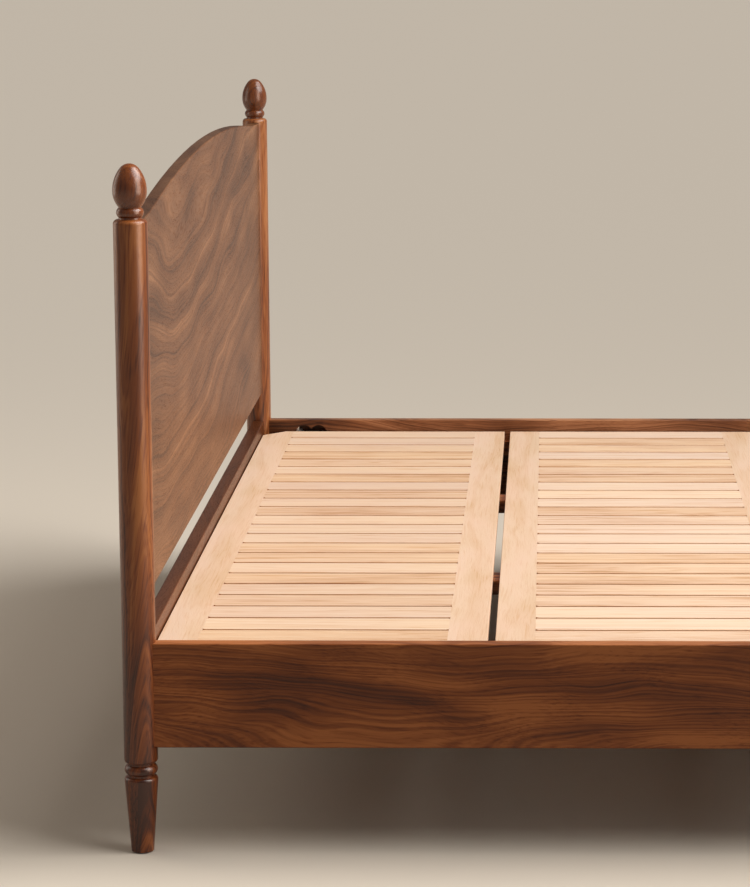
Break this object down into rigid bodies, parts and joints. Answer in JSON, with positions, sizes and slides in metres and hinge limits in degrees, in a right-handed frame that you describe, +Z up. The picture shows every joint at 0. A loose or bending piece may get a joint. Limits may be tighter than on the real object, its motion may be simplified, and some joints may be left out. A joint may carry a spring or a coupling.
{
  "type": "wooden bed",
  "caption": "Double bed in walnut with turned round posts, egg finials, an arched head panel, bolted side rails and lift-out slat panels that carry a mattress.",
  "frame": {"origin": "on the floor under the middle of the bed", "axes": "+X from the head to the foot, +Y to the right as seen from the foot end, +Z up"},
  "size_m": [2.106, 1.9, 1.0275],
  "materials": {
    "walnut": "satin oiled walnut, straight to cathedral grain",
    "walnut_panel": "satin oiled walnut with a feathered figure",
    "pale_wood": "bare sanded pale hardwood",
    "dowel_wood": "bare beech",
    "zinc_steel": "bright zinc plated steel",
    "brass": "turned brass",
    "black_nylon": "matte moulded nylon"
  },
  "bodies": {
    "bed_frame": {"beam_block_foot_left": "walnut", "beam_block_foot_right": "walnut", "beam_block_head_left": "walnut", "beam_block_head_right": "walnut", "block_screws": "zinc_steel", "foot_finial_left": "walnut", "foot_finial_right": "walnut", "foot_post_left": "walnut", "foot_post_right": "walnut", "foot_rail": "walnut", "half_moon_washers": "zinc_steel", "head_finial_left": "walnut", "head_finial_right": "walnut", "head_panel": "walnut_panel", "head_post_left": "walnut", "head_post_right": "walnut", "head_rail": "walnut", "ledger_screws": "zinc_steel", "leg_bolts": "zinc_steel", "leg_glide_foot_left": "black_nylon", "leg_glide_foot_right": "black_nylon", "leg_glide_head_left": "black_nylon", "leg_glide_head_right": "black_nylon", "post_glide_foot_left": "black_nylon", "post_glide_foot_right": "black_nylon", "post_glide_head_left": "black_nylon", "post_glide_head_right": "black_nylon", "rail_dowels": "dowel_wood", "rail_nuts": "zinc_steel", "rail_studs": "zinc_steel", "side_ledger_left": "walnut", "side_ledger_right": "walnut", "side_rail_left": "walnut", "side_rail_right": "walnut", "stud_inserts": "brass", "support_beam_left": "walnut", "support_beam_right": "walnut", "support_leg_foot_left": "walnut", "support_leg_foot_right": "walnut", "support_leg_head_left": "walnut", "support_leg_head_right": "walnut"},
    "slat_panel_1": {"slat_panel_1_foot_board": "pale_wood", "slat_panel_1_head_board": "pale_wood", "slat_panel_1_slats": "pale_wood"},
    "slat_panel_2": {"slat_panel_2_foot_board": "pale_wood", "slat_panel_2_head_board": "pale_wood", "slat_panel_2_slats": "pale_wood"},
    "slat_panel_3": {"slat_panel_3_foot_board": "pale_wood", "slat_panel_3_head_board": "pale_wood", "slat_panel_3_slats": "pale_wood"},
    "slat_panel_4": {"slat_panel_4_foot_board": "pale_wood", "slat_panel_4_head_board": "pale_wood", "slat_panel_4_slats": "pale_wood"}
  },
  "joints": [
    {"name": "lift_slat_panel_1", "type": "slide", "parent": "bed_frame", "child": "slat_panel_1", "axis": [0, 0, 1], "range_m": [0, 0.3]},
    {"name": "lift_slat_panel_2", "type": "slide", "parent": "bed_frame", "child": "slat_panel_2", "axis": [0, 0, 1], "range_m": [0, 0.3]},
    {"name": "lift_slat_panel_3", "type": "slide", "parent": "bed_frame", "child": "slat_panel_3", "axis": [0, 0, 1], "range_m": [0, 0.3]},
    {"name": "lift_slat_panel_4", "type": "slide", "parent": "bed_frame", "child": "slat_panel_4", "axis": [0, 0, 1], "range_m": [0, 0.3]}
  ]
}
